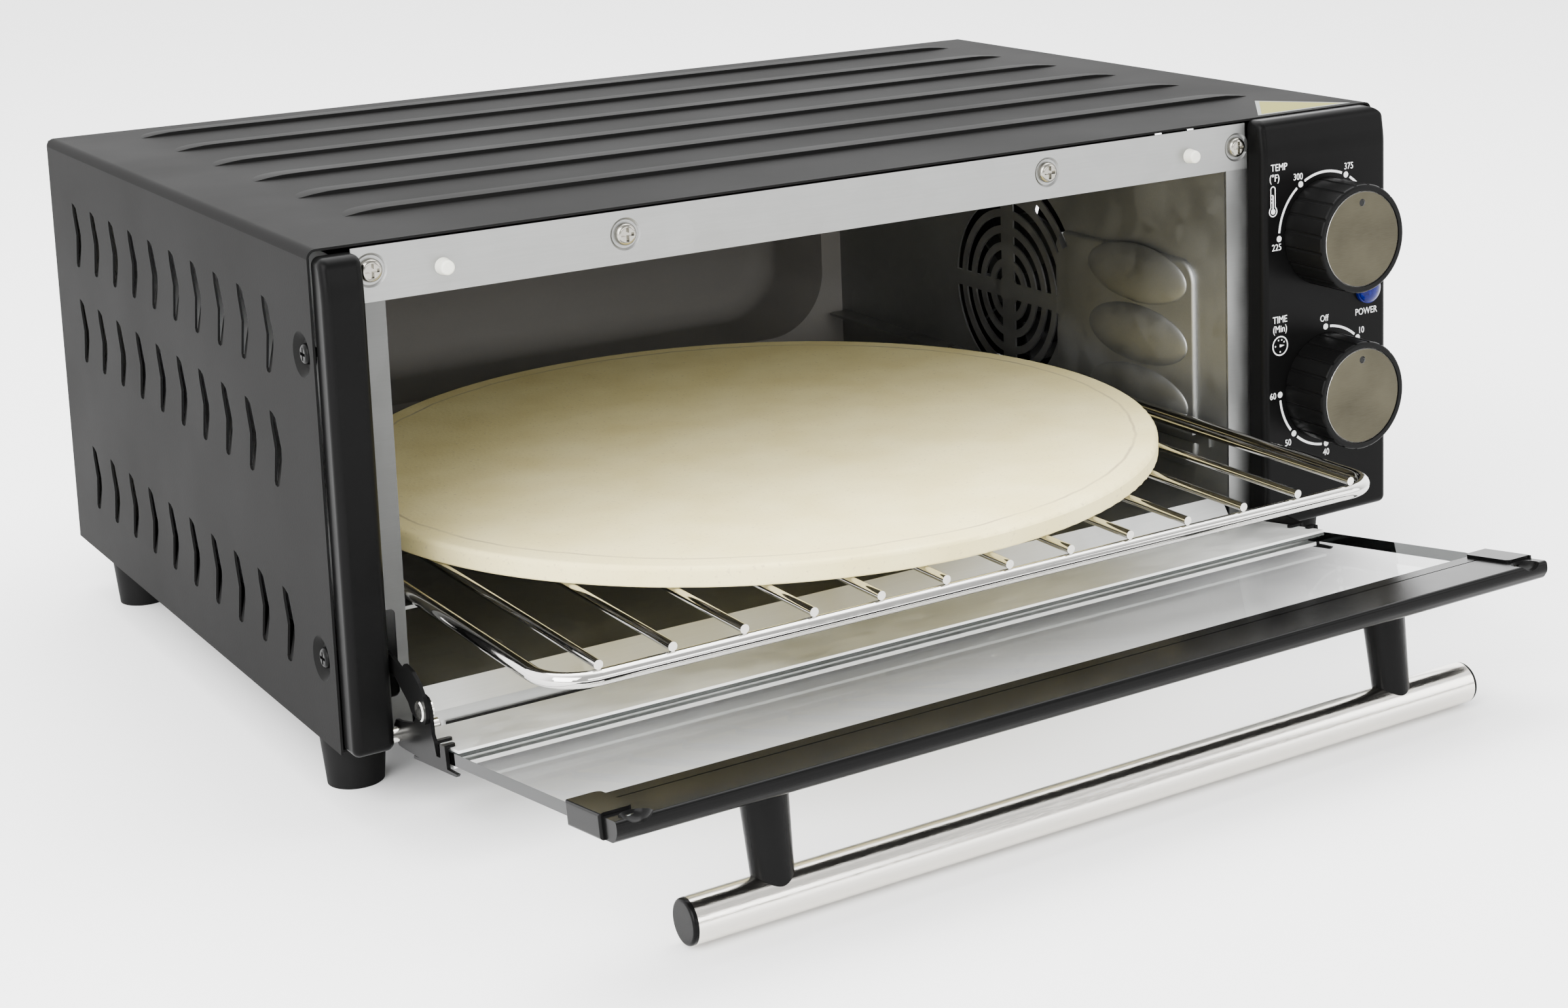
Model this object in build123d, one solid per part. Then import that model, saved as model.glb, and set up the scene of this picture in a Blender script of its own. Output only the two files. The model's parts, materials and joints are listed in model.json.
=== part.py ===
from build123d import *
import math
import os

# Countertop pizza oven, in millimetres.  X is the oven's width, -Y its front, +Z up.
# Every shape is placed from the front plane of the cabinet (y = 0) and the counter (z = 0).
# save() then moves it back by ORIGIN_Y, so that the origin is the middle of the footprint.

# ---------------------------------------------------------------- driving dimensions
WIDTH, DEPTH = 437.0, 289.0          # cabinet
FLOOR_Z, TOP_Z = 22.0, 184.7         # underside and top of the cabinet
SHEET = 0.8                          # sheet metal thickness
EDGE_R = 3.0                         # bend along the cabinet's top edges

MID_X = -24.2                        # middle of the door opening
OPEN_HALF = 169.5                    # half the width of the opening between the jambs
OPEN_TOP = 165.5                     # underside of the front rail
WALL_TOP, TRAY_Z = 172.0, 32.0       # cavity roof and cavity floor
WALL_Y0 = 2.4                        # front edge of the cavity's walls and roof
BULGE_HALF, BULGE_DEPTH = 159.8, 54.0  # pressed bulge in the rear wall, for a round pizza
BULGE_Z0, BULGE_Z1, BULGE_R = 52.0, 166.0, 30.0

TRIM_FRONT = 9.0                     # trim and control panel stand this far off the cabinet
TRIM_X0, TRIM_X1 = -217.2, -203.4    # left end trim
PANEL_X0, PANEL_X1 = 155.0, 218.5    # control panel
TRIM_Z0, CREASE_Z = 22.5, 172.0      # foot of both, and where they start to lean back
TRIM_TOP, PANEL_TOP = 182.4, 184.2

KNOB_X, TEMP_Z, TIMER_Z = 186.3, 138.1, 76.4
KNOB_R, KNOB_CAP_R, KNOB_FRONT = 21.2, 18.8, 30.1
SHAFT_R, FIT = 3.0, 0.05             # control shafts and the running clearance of every bearing
LAMP_X, LAMP_Z, LAMP_R = 208.0, 112.4, 6.0

HINGE_Y, HINGE_Z, OPEN_ANGLE = -5.5, 26.8, 81.6   # door hinge line; the door is shown open
PIN_R = 2.5
GLASS_T, GLASS_HALF, GLASS_U0, GLASS_U1 = 4.0, 175.3, 33.4, 148.0
CHANNEL_HALF, CHANNEL_U0, CHANNEL_U1 = 174.6, 6.8, 42.8
RAIL_HALF, RAIL_U0, RAIL_U1, RAIL_N = 176.4, 126.0, 155.2, -5.4
HANDLE_U, HANDLE_N, HANDLE_R = 133.3, -38.8, 7.0
HANDLE_X, HANDLE_HALF, POST_HALF = -22.5, 149.9, 120.0

RIVET_U, RIVET_N, RIVET_R = 24.4, 11.3, 2.0
PLATE_X = (-200.9, -199.7)           # left hinge bracket
ARM_X = (-202.3, -201.1)             # left link arm, outside the bracket
SLOT_X, SLOT_Z = (-204.5, -197.3), (36.6, 65.6)   # slot in the left jamb that the arm runs in

RACK_HALF, RACK_Y0, RACK_LENGTH = 164.5, -94.5, 259.5
RACK_Z, RACK_R, RACK_CORNER = 64.5, 2.5, 15.0
LEDGE_Z0, LEDGE_Z1 = 54.0, 61.6       # the ledges that the rack slides on
WIRE_R, WIRE_COUNT, WIRE_PITCH = 1.5, 13, 24.6
WIRE_Z = RACK_Z + RACK_R + WIRE_R - 0.03           # wires are welded on top of the frame
STONE_X, STONE_Y, STONE_R, STONE_T = -28.8, 69.0, 151.5, 7.0
STONE_Z = WIRE_Z + WIRE_R + 0.05

FAN_Y, FAN_Z, FAN_R, GRILLE_PITCH = 149.0, 94.0, 36.0, 7.2
FOOT_X, FOOT_YS, FOOT_R0, FOOT_R1 = 203.0, (31.0, 259.0), 9.3, 11.4
ORIGIN_Y = 91.87                     # the origin lies this far behind the cabinet's front

HALF = WIDTH / 2
WALL_X0, WALL_X1 = MID_X - OPEN_HALF, MID_X + OPEN_HALF     # inner faces of the cavity's sides
HINGE_AXIS = Axis((0, HINGE_Y, HINGE_Z), (1, 0, 0))


# ---------------------------------------------------------------- helpers
def block(x, y, z):
    """A box from (low, high) pairs."""
    centre = Pos((x[0] + x[1]) / 2, (y[0] + y[1]) / 2, (z[0] + z[1]) / 2)
    return centre * Box(abs(x[1] - x[0]), abs(y[1] - y[0]), abs(z[1] - z[0]))


def rod_x(x, y, z, radius):
    """A cylinder along X from x[0] to x[1]."""
    return Pos((x[0] + x[1]) / 2, y, z) * Rot(0, 90, 0) * Cylinder(radius, abs(x[1] - x[0]))


def rod_y(x, y, z, radius):
    """A cylinder along Y from y[0] to y[1]."""
    return Pos(x, (y[0] + y[1]) / 2, z) * Rot(90, 0, 0) * Cylinder(radius, abs(y[1] - y[0]))


def rod_z(x, y, z, radius):
    """A cylinder along Z from z[0] to z[1]."""
    return Pos(x, y, (z[0] + z[1]) / 2) * Cylinder(radius, abs(z[1] - z[0]))


def side_shape(points, x):
    """A flat outline in (y, z), extruded in X from x[0] to x[1]."""
    face = Plane.YZ * make_face(Polyline(*points, close=True))
    return Pos(x[0], 0, 0) * extrude(face, x[1] - x[0], dir=(1, 0, 0))


def front_plate(outline, y):
    """A sketch drawn in (x, z), extruded in Y from y[0] to y[1]."""
    return Pos(0, y[0], 0) * extrude(Plane.XZ * outline, y[1] - y[0], dir=(0, 1, 0))


def mirror_x(shape, middle=MID_X):
    """The same piece at the other end of the door opening."""
    return mirror(shape, about=Plane.YZ.offset(middle))


def open_door(shape):
    """Swing a piece of the closed door down to the door's open rest position."""
    return shape.rotate(HINGE_AXIS, OPEN_ANGLE)


def door_point(u, n):
    """(y, z) on the closed door: u up from the hinge line, n towards the cavity."""
    return HINGE_Y + n, HINGE_Z + u


def door_block(x, u, n):
    """A box on the closed door, from (low, high) pairs in x, u and n."""
    low, high = door_point(u[0], n[0]), door_point(u[1], n[1])
    return block(x, (low[0], high[0]), (low[1], high[1]))


def group(shapes):
    """Several separate solids in one node."""
    return Compound([solid for shape in shapes for solid in shape.solids()])


def save(name, shape):
    """Write one node, moved into the row's frame."""
    export_step(Pos(0, -ORIGIN_Y, 0) * shape, f"parts/{name}.step")


# ---------------------------------------------------------------- fasteners
def pan_head(radius, height, stem_radius, stem_length):
    """A pan-head cross-recess screw, head up along +Z, seated at z = 0."""
    head = Cylinder(radius, height, align=(Align.CENTER, Align.CENTER, Align.MIN))
    head = fillet(head.edges().group_by(Axis.Z)[-1], height * 0.7)
    arm = Pos(0, 0, height) * Box(radius * 1.25, radius * 0.3, height)
    stem = Cylinder(stem_radius, stem_length, align=(Align.CENTER, Align.CENTER, Align.MAX))
    return head + stem - arm - Rot(0, 0, 90) * arm


def screw_facing(axis_rotation, place, size=(3.8, 2.2, 1.6, 7.0)):
    return Pos(*place) * axis_rotation * pan_head(*size)


TO_FRONT, TO_LEFT, TO_BACK = Rot(90, 0, 0), Rot(0, -90, 0), Rot(-90, 0, 0)
RAIL_SCREWS = ((-198.4, 175.6), (-110.4, 175.3), (60.4, 175.3), (149.2, 174.3))
SIDE_SCREWS = ((10.5, 150.0), (12.0, 50.5))
DIMPLE_DEPTH = 2.2                   # the side screws sit this deep in the cover


# ---------------------------------------------------------------- cabinet
def vent(y, z):
    """Outline of one vent slot in (y, z): pointed at the top, and bent towards the front."""
    shape = [(3.5, 12.0), (1.0, 11.6), (-1.6, 10.4), (-5.4, 0.8), (-5.0, -3.4), (-2.2, -10.2),
             (-1.0, -12.4), (1.0, -13.2), (2.8, -13.0), (3.4, -11.8), (0.8, -0.5), (3.2, 8.0)]
    return [(y + dy, z + dz) for dy, dz in shape]


def vent_tongue(y, z):
    """Tongue pressed inwards behind the lower half of a vent, joined to the cover at its foot."""
    x = -HALF + SHEET / 2
    slope = make_face(Polyline((x, z - 14), (x + SHEET, z - 14), (x + SHEET + 3, z), (x + 3, z), close=True))
    return front_plate(slope, (y - 4.6, y + 3.2))


GLAND_X, GLAND_Z = 188.0, 46.0       # cord gland on the rear
REAR_SCREWS = [(x, z) for x in (-208.0, 0.0, 208.0) for z in (28.0, 176.0)]
VENT_COLUMNS = [41.0 + 23.8 * i for i in range(10)]
VENT_ROWS = (151.2, 113.2, 54.0)


def cover_left():
    """Left side of the wrap-round cover, with three rows of vents and two screw dimples."""
    sheet = block((-HALF, -HALF + SHEET), (0, DEPTH - SHEET), (FLOOR_Z, TOP_Z - EDGE_R))
    places = [(y, z) for z in VENT_ROWS for y in VENT_COLUMNS]
    sheet -= [side_shape(vent(y, z), (-HALF - 1, -HALF + 1)) for y, z in places]
    sheet -= [dimple(y, z, 0, DIMPLE_DEPTH) for y, z in SIDE_SCREWS]
    cups = [dimple(y, z, SHEET, DIMPLE_DEPTH + SHEET) - dimple(y, z, 0, DIMPLE_DEPTH)
            - rod_x((-HALF, -HALF + 5), y, z, 1.7) for y, z in SIDE_SCREWS]
    return sheet + cups + [vent_tongue(y, z) for y, z in places]


def dimple(y, z, thickness, depth):
    """Solid inside (or, with a thickness, outside) of the cup pressed in round a side screw."""
    cone = Cone(4.6 + thickness, 7.4 + thickness, depth, align=(Align.CENTER, Align.CENTER, Align.MAX))
    return Pos(-HALF, y, z) * TO_LEFT * cone


def cover_top():
    """Top of the wrap-round cover: bent edges and six raised beads."""
    outer = Pos(0, TOP_Z - 20) * RectangleRounded(WIDTH, 40, EDGE_R)
    inner = Pos(0, TOP_Z - 20) * RectangleRounded(WIDTH - 2 * SHEET, 40 - 2 * SHEET, EDGE_R - SHEET)
    keep = Pos(0, TOP_Z - EDGE_R / 2) * Rectangle(WIDTH, EDGE_R)
    top = front_plate((outer - inner) & keep, (0, DEPTH - SHEET))
    for i in range(6):
        top += bead(45.5 + 43.3 * i)
    return top


def bead(y, x0=-172.5, x1=177.0, half_width=16.0, height=1.4):
    """A long pressed bead with tapered ends: a steep front step, and a gentle slope behind."""
    radius = (half_width ** 2 + height ** 2) / (2 * height)
    z = TOP_Z + height - radius
    lens = rod_x((x0, x1), y, z, radius)
    for x in (x0, x1):
        lens += Pos(x, y, z) * Sphere(radius)
    return lens & block((-HALF, HALF), (y, y + 20), (TOP_Z - SHEET / 2, TOP_Z + 5))


def bottom_pan():
    pan = block((-HALF + SHEET, HALF - SHEET), (2, DEPTH - SHEET), (FLOOR_Z, FLOOR_Z + SHEET))
    for x in (-FOOT_X, FOOT_X):
        for y in FOOT_YS:
            pan -= rod_z(x, y, (FLOOR_Z - 1, FLOOR_Z + 2), 1.7)
    return pan


def bulge_outline(shrink=0.0):
    middle = Pos(MID_X, (BULGE_Z0 + BULGE_Z1) / 2)
    size = (2 * (BULGE_HALF - shrink), BULGE_Z1 - BULGE_Z0 - 2 * shrink)
    return middle * RectangleRounded(*size, BULGE_R - shrink)


def rear_panel():
    """Flat rear wall with the mouth of the bulge, warm-air slots and the cord hole."""
    panel = block((-HALF + SHEET, HALF - SHEET), (DEPTH - SHEET, DEPTH), (FLOOR_Z, TOP_Z - SHEET))
    panel -= front_plate(bulge_outline(), (DEPTH - 2, DEPTH + 1))
    for i in range(7):
        slot = extrude(SlotOverall(44, 2.6, rotation=90), 4, both=True)
        panel -= Pos(166 + 6.5 * i, DEPTH, 120) * Rot(90, 0, 0) * slot
    for x, z in REAR_SCREWS:
        panel -= rod_y(x, (DEPTH - 2, DEPTH + 1), z, 1.7)
    return panel - rod_y(GLAND_X, (DEPTH - 2, DEPTH + 1), GLAND_Z, 6.0)


def rear_bulge():
    """Dish pressed into the rear wall, so that a round stone clears it."""
    back = DEPTH + BULGE_DEPTH
    outside = front_plate(bulge_outline(), (DEPTH - SHEET, back))
    outside = fillet(outside.edges().group_by(Axis.Y)[-1], 12)
    inside = front_plate(bulge_outline(SHEET), (DEPTH - SHEET - 1, back - SHEET))
    inside = fillet(inside.edges().group_by(Axis.Y)[-1], 12 - SHEET)
    return outside - inside


def cord_gland():
    """Strain-relief gland where the mains cord would enter."""
    collar = rod_y(GLAND_X, (DEPTH, DEPTH + 4), GLAND_Z, 9.0)
    nose = rod_y(GLAND_X, (DEPTH + 4, DEPTH + 14), GLAND_Z, 6.4)
    neck = rod_y(GLAND_X, (DEPTH - 6, DEPTH), GLAND_Z, 5.95)
    return collar + nose + neck - rod_y(GLAND_X, (DEPTH - 7, DEPTH + 15), GLAND_Z, 3.6)


def foot(x, y):
    return Pos(x, y, FLOOR_Z / 2) * Cone(FOOT_R0, FOOT_R1, FLOOR_Z) - rod_z(x, y, (FLOOR_Z - 9, FLOOR_Z), 1.65)


# ---------------------------------------------------------------- cavity
def cavity_side():
    """Left inner wall: a pressed panel with three ridges, cut away where the rack ledge is fixed."""
    wall = block((WALL_X0 - SHEET, WALL_X0), (WALL_Y0, DEPTH - SHEET), (TRAY_Z, WALL_TOP))
    pressed = Plane.YZ * Pos(66, 85) * RectangleRounded(92, 84, 9)
    pad = Pos(WALL_X0 - 0.2, 0, 0) * extrude(pressed, 2.0, dir=(1, 0, 0))
    pad = fillet(pad.faces().sort_by(Axis.X)[-1].edges(), 1.6)
    for z in (117.0, 92.0, 67.0):
        pad += ridge(z)
    ledge_place = block((WALL_X0, WALL_X0 + 12), (11, 285), (LEDGE_Z0 - 0.05, LEDGE_Z1 + 0.05))
    return wall + (pad - ledge_place)


def ridge(z, y=56.0, half_length=32.0, half_width=12.0, height=2.4):
    """A smooth oval ridge on the pressed panel."""
    oval = Pos(WALL_X0 + 1.8, y, z) * scale(Sphere(1), by=(height, half_length, half_width))
    return oval & block((WALL_X0 + 1.0, WALL_X0 + 10), (y - 40, y + 40), (z - 15, z + 15))


def grille_slots():
    """Arc slots of the fan grille: five rings parted by a cross, and two short arcs outside them."""
    radii = [8.5 + GRILLE_PITCH * i for i in range(7)]
    rings = [Circle(radius + 1.9) - Circle(radius - 1.9) for radius in radii]
    cross = Rectangle(90, 7) + Rectangle(9, 90)
    a, b = math.radians(118), math.radians(150)
    sector = make_face(Polyline((0, 0), (99 * math.cos(a), 99 * math.sin(a)),
                                (99 * math.cos(b), 99 * math.sin(b)), close=True))
    arcs = [ring - cross for ring in rings[:5]] + [ring & sector for ring in rings[5:]]
    centre = Plane.YZ * Pos(FAN_Y, FAN_Z)
    return [Pos(WALL_X1 - 3, 0, 0) * extrude(centre * arc, 8, dir=(1, 0, 0)) for arc in arcs]


def cavity_roof():
    return block((WALL_X0 - SHEET, WALL_X1 + SHEET), (WALL_Y0, DEPTH - SHEET), (WALL_TOP, WALL_TOP + SHEET))


def crumb_tray():
    """Cavity floor, with four shallow pressed dimples."""
    tray = block((WALL_X0 - SHEET, WALL_X1 + SHEET), (12, DEPTH - SHEET), (TRAY_Z - SHEET, TRAY_Z))
    for x in (-150.0, 102.0):
        for y in (40.0, 240.0):
            cap = Pos(x, y, TRAY_Z - 7.5) * Sphere(9.0)
            tray += cap & block((x - 8, x + 8), (y - 8, y + 8), (TRAY_Z - 0.4, TRAY_Z + 3))
    return tray


def rack_ledge():
    """Left ledge that the rack's side rail slides on."""
    x0 = WALL_X0
    shelf = block((x0, x0 + 9.4), (12, 284), (LEDGE_Z1 - 1.2, LEDGE_Z1))
    return shelf + block((x0, x0 + 1.2), (12, 284), (LEDGE_Z0, LEDGE_Z1))


ELEMENTS = {"upper": ((70.0, 215.0), 160.0), "lower": ((125.0, 205.0), 44.0)}


def heating_rods(level):
    ys, z = ELEMENTS[level]
    return group([rod_x((WALL_X0 + 1.5, WALL_X1 - 1.5), y, z, 3.2) for y in ys])


def element_bushes():
    """Ceramic bushes at both ends of each heating rod."""
    bushes = []
    for ys, z in ELEMENTS.values():
        for y in ys:
            bush = rod_x((WALL_X0, WALL_X0 + 7), y, z, 6.0)
            bush -= rod_x((WALL_X0 + 1.5, WALL_X0 + 8), y, z, 3.25)
            bushes += [bush, mirror_x(bush)]
    return group(bushes)


# ---------------------------------------------------------------- front frame
def front_rail():
    """Bright rail over the opening, with dimples round its screws and a hem below."""
    x0, x1 = -204.5, 153.6
    rail = block((x0, x1), (0, SHEET), (OPEN_TOP, 183.2))
    rail += block((WALL_X0 + 0.2, WALL_X1 - 0.2), (0, 6), (OPEN_TOP, OPEN_TOP + SHEET))
    rail += block((x1 - 1, x1 + 1.0), (0, SHEET), (OPEN_TOP, 172.0))
    for x, z in RAIL_SCREWS:
        rail -= Pos(x, SHEET / 2 - 0.2, z) * Rot(90, 0, 0) * Cone(4.4, 6.0, 1.0)
        rail -= rod_y(x, (-1, 2), z, 1.7)
        rail += rod_y(x, (0.5, 1.3), z, 6.2) - rod_y(x, (0.4, 1.4), z, 1.7)
    for x in BUMPER_X:
        rail -= rod_y(x, (-1, 2), BUMPER_Z, 1.6)
    return rail


BUMPER_X, BUMPER_Z = (-174.4, 126.4), 173.6


def bumper(x):
    """Silicone door bumper pushed into the rail."""
    dome = Pos(x, -2.15, BUMPER_Z) * Rot(90, 0, 0) * Cone(2.8, 2.3, 4.3)
    dome = fillet(dome.edges().group_by(Axis.Y)[0], 0.8)
    return dome + rod_y(x, (0, 2.2), BUMPER_Z, 1.55)


def jamb():
    """Plain jamb, as on the left."""
    return block((-212, WALL_X0), (SHEET + 0.5, 2 * SHEET + 0.5), (FLOOR_Z + 1, WALL_TOP))


def slotted_jamb():
    """Left jamb, with the slot that the link arm runs in."""
    slot = fillet(block(SLOT_X, (0, 4), SLOT_Z).edges().filter_by(Axis.Y).group_by(Axis.X)[-1], 1.8)
    return jamb() - slot


def sill():
    """Bent sill below the opening: a lip, a slope and an upright apron."""
    line = [(11.5, 33.2), (3.6, 36.6), (-1.6, 29.4), (-1.6, 23.4)]
    back = [(y + 0.7, z - 0.9) for y, z in reversed(line)]
    sheet = side_shape(line + back, (WALL_X0 + 2.6, WALL_X1 - 2.6))
    for x, turn in ((WALL_X0 + 2.6, 1), (WALL_X1 - 2.6, -1)):
        corner = make_face(Polyline((x - turn, 30), (x + 8 * turn, 22), (x - turn, 22), close=True))
        sheet -= front_plate(corner, (-5, 1))
    return sheet


def sill_bead():
    """Black bead along the foot of the sill."""
    return block((WALL_X0 + 10, WALL_X1 - 10), (-3.2, -1.6), (23.0, 25.2))


def round_corner(face, place, radius):
    """Round the corner of a sketch that lies nearest to place."""
    return fillet(face.vertices().sort_by_distance(place)[0], radius)


def trim_section(top):
    """Side section of the trim or the panel: upright, leaning back above a soft crease."""
    corners = [(0, TRIM_Z0), (-TRIM_FRONT, TRIM_Z0), (-TRIM_FRONT, CREASE_Z), (1.8 - TRIM_FRONT, top), (0, top)]
    face = make_face(Polyline(*corners, close=True))
    for place, radius in zip(corners[1:4], (3.2, 40.0, 4.0)):
        face = round_corner(face, place, radius)
    return face


def upright_bar(x, top):
    """The trim section extruded in X, with its front edges rounded."""
    bar = Pos(x[0], 0, 0) * extrude(Plane.YZ * trim_section(top), x[1] - x[0], dir=(1, 0, 0))
    ends = bar.faces().filter_by(Axis.X)
    front = [edge for end in ends for edge in end.edges() if edge.center().Y < -0.01]
    return fillet([edge for edge in front if edge.center().Y < -TRIM_FRONT / 2 - 1], 2.6)


def left_trim():
    """Black end trim, with the blind bearing of the left hinge pin."""
    bar = upright_bar((TRIM_X0, TRIM_X1), TRIM_TOP)
    bar -= block((TRIM_X0 + 2.4, TRIM_X1 - 2.4), (-6.6, 1), (34, TRIM_TOP - 16))
    return bar - rod_x((TRIM_X1 - 5.0, TRIM_X1 + 1), HINGE_Y, HINGE_Z, PIN_R + FIT)


def control_panel():
    """Black panel, hollow at the back, with holes for two shafts, a lamp and a hinge pin."""
    shell = upright_bar((PANEL_X0, PANEL_X1), PANEL_TOP)
    for z, radius in ((PANEL_TOP, 8.0), (TRIM_Z0, 5.0)):
        inward = math.copysign(radius, (TRIM_Z0 + PANEL_TOP) / 2 - z)
        corner = block((PANEL_X1 - radius, PANEL_X1 + 1), (-20, 5), (z - inward, z + inward))
        shell -= corner - rod_y(PANEL_X1 - radius, (-20, 5), z + inward, radius)
    shell -= block((PANEL_X0 + 2.2, PANEL_X1 - 3.2), (-6.8, 1), (34, PANEL_TOP - 16))
    for z in (TEMP_Z, TIMER_Z):
        shell -= rod_y(KNOB_X, (-12, 0), z, SHAFT_R + 0.6)
    shell -= rod_y(LAMP_X, (-12, 0), LAMP_Z, LAMP_R - 1.0)
    return shell - rod_x((PANEL_X0 - 1, PANEL_X0 + 5.0), HINGE_Y, HINGE_Z, PIN_R + FIT)


# ---------------------------------------------------------------- controls
def knob_body(z):
    """Black fluted grip with a rounded rim and a recess for the metal cap."""
    y0, y1 = -TRIM_FRONT - 0.5, -KNOB_FRONT - 0.3
    grip = Pos(KNOB_X, y1, z) * Rot(-90, 0, 0) * Cylinder(
        KNOB_R, y0 - y1, align=(Align.CENTER, Align.CENTER, Align.MIN))
    grip = fillet(grip.edges().group_by(Axis.Y)[0], 1.1)
    for i in range(20):
        angle = math.radians(18 * i + 9)
        x, dz = (KNOB_R + 0.45) * math.cos(angle), (KNOB_R + 0.45) * math.sin(angle)
        grip -= rod_y(KNOB_X + x, (y0 + 1, y1 - 1), z + dz, 0.9)
    grip -= rod_y(KNOB_X, (y1 - 1, -KNOB_FRONT + 1.6), z, KNOB_CAP_R)
    return grip - rod_y(KNOB_X, (y0 + 1, y1 + 4), z, SHAFT_R + 0.02)


def knob_cap(z):
    """Thin metal disc in the knob, with a bevelled edge and a round mark near the top."""
    disc = rod_y(KNOB_X, (-KNOB_FRONT, -KNOB_FRONT + 1.6), z, KNOB_CAP_R)
    disc = chamfer(disc.edges().group_by(Axis.Y)[0], 0.5)
    return disc - rod_y(KNOB_X, (-KNOB_FRONT - 1, -KNOB_FRONT + 0.5), z + 14.2, 1.45)


def shaft(z):
    return rod_y(KNOB_X, (-26.0, -1.0), z, SHAFT_R)


def control_case(z, half, depth):
    """Thermostat or timer behind the panel, with the bearing of its shaft."""
    case = block((KNOB_X - half, KNOB_X + half), (1.8, depth), (z - half, z + half))
    case = fillet(case.edges().filter_by(Axis.Y), 3)
    neck = rod_y(KNOB_X, (-6.6, 1.8), z, 5.5)
    return case + neck - rod_y(KNOB_X, (-8, 0.5), z, SHAFT_R + FIT)


def lamp_lens():
    lens = rod_y(LAMP_X, (-TRIM_FRONT - 1.4, -TRIM_FRONT), LAMP_Z, LAMP_R)
    dome = Pos(LAMP_X, -TRIM_FRONT + 4.6, LAMP_Z) * Sphere(8.6)
    lens += dome & rod_y(LAMP_X, (-TRIM_FRONT - 6, -TRIM_FRONT - 0.5), LAMP_Z, LAMP_R - 0.6)
    return lens + rod_y(LAMP_X, (-TRIM_FRONT, -TRIM_FRONT + 8), LAMP_Z, LAMP_R - 1.05)


# ---------------------------------------------------------------- fan
def fan_motor():
    can = rod_x((168, 196), FAN_Y, FAN_Z, 21)
    can = fillet(can.edges(), 2.5)
    neck = rod_x((163, 168), FAN_Y, FAN_Z, 7)
    foot_plate = block((196, HALF - 2.5), (FAN_Y - 26, FAN_Y + 26), (FAN_Z - 8, FAN_Z + 8))
    return can + neck + foot_plate - rod_x((162, 180), FAN_Y, FAN_Z, 2.0 + FIT)


def fan_wheel():
    """Impeller: hub, back disc and ten upright blades."""
    wheel = rod_x((157.5, 158.7), FAN_Y, FAN_Z, FAN_R - 4) + rod_x((149.5, 160.5), FAN_Y, FAN_Z, 6)
    for i in range(10):
        blade = block((149.5, 158), (FAN_Y + 15, FAN_Y + FAN_R - 4), (FAN_Z - 0.6, FAN_Z + 0.6))
        wheel += blade.rotate(Axis((0, FAN_Y, FAN_Z), (1, 0, 0)), 36 * i)
    return wheel - rod_x((148, 161), FAN_Y, FAN_Z, 2.0)


def fan_shaft():
    return rod_x((150.5, 178), FAN_Y, FAN_Z, 2.0)


# ---------------------------------------------------------------- door
def door_glass():
    pane = door_block((MID_X - GLASS_HALF, MID_X + GLASS_HALF), (GLASS_U0, GLASS_U1), (-GLASS_T, 0))
    return chamfer(pane.edges().filter_by(Axis.X), 0.4)


def door_channel():
    """Bright channel that grips the lower edge of the glass, its outer lip shorter."""
    x = (MID_X - CHANNEL_HALF, MID_X + CHANNEL_HALF)
    channel = door_block(x, (CHANNEL_U0, CHANNEL_U1), (-GLASS_T - 1.4, 1.0))
    channel = fillet(channel.edges().filter_by(Axis.X).group_by(Axis.Z)[0], 0.9)
    channel -= door_block((x[0] - 1, x[1] + 1), (GLASS_U0 - 0.2, CHANNEL_U1 + 1), (-GLASS_T - 0.1, 0.1))
    channel -= door_block((x[0] - 1, x[1] + 1), (CHANNEL_U1 - 5, CHANNEL_U1 + 1), (-GLASS_T - 2, -GLASS_T))
    hollow = (CHANNEL_U0 + SHEET, GLASS_U0 - 1.0)
    return channel - door_block((x[0] - 1, x[1] + 1), hollow, (-GLASS_T - 0.6, 0.2))


def door_rail():
    """Top rail of the door: flat inner face with a groove, blunt nose, slot for the glass."""
    nose = [(RAIL_U1 - 2.6, RAIL_N), (RAIL_U1, -2.4), (RAIL_U1, 1.0)]
    corners = [door_point(u, n) for u, n in [(RAIL_U0, RAIL_N)] + nose + [(RAIL_U0, 1.0)]]
    outline = make_face(Polyline(*corners, close=True))
    for place, radius in zip(corners[1:4], (3.0, 3.0, 1.2)):
        outline = round_corner(outline, place, radius)
    rail = Pos(MID_X - RAIL_HALF, 0, 0) * extrude(Plane.YZ * outline, 2 * RAIL_HALF, dir=(1, 0, 0))
    slot_half = GLASS_HALF + 0.2
    slot_x, slot_u = (MID_X - slot_half, MID_X + slot_half), (RAIL_U0 - 1, GLASS_U1 + 0.2)
    rail -= door_block(slot_x, slot_u, (-GLASS_T - 0.1, 0.1))
    rail -= door_block((MID_X - RAIL_HALF - 1, MID_X + RAIL_HALF + 1), (132.6, 133.4), (0.6, 2.0))
    y, z = door_point(RAIL_U1 - 3, 3.4)
    scoop = Pos(MID_X - RAIL_HALF + 7.4, y, z) * Sphere(5.4)
    return rail - scoop - mirror_x(scoop)


def door_corner():
    """Left end cap: a plate over the corner of the glass and a cheek over the rail's end."""
    x0 = MID_X - RAIL_HALF
    cheek = door_block((x0 - 1.2, x0), (RAIL_U0 - 0.6, RAIL_U1 - 8), (RAIL_N, 2.0))
    cheek = fillet(cheek.edges().group_by(Axis.X)[0], 0.8)
    plate = door_block((x0 - 0.4, x0 + 9.6), (RAIL_U0 - 0.6, RAIL_U1 - 8.6), (1.05, 2.0))
    return cheek + fillet(plate.edges().filter_by(Axis.Y).group_by(Axis.X)[-1], 2.0)


def handle_tube():
    y, z = door_point(HANDLE_U, HANDLE_N)
    x = (HANDLE_X - HANDLE_HALF, HANDLE_X + HANDLE_HALF)
    return rod_x(x, y, z, HANDLE_R) - rod_x((x[0] - 1, x[1] + 1), y, z, HANDLE_R - 0.9)


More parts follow.
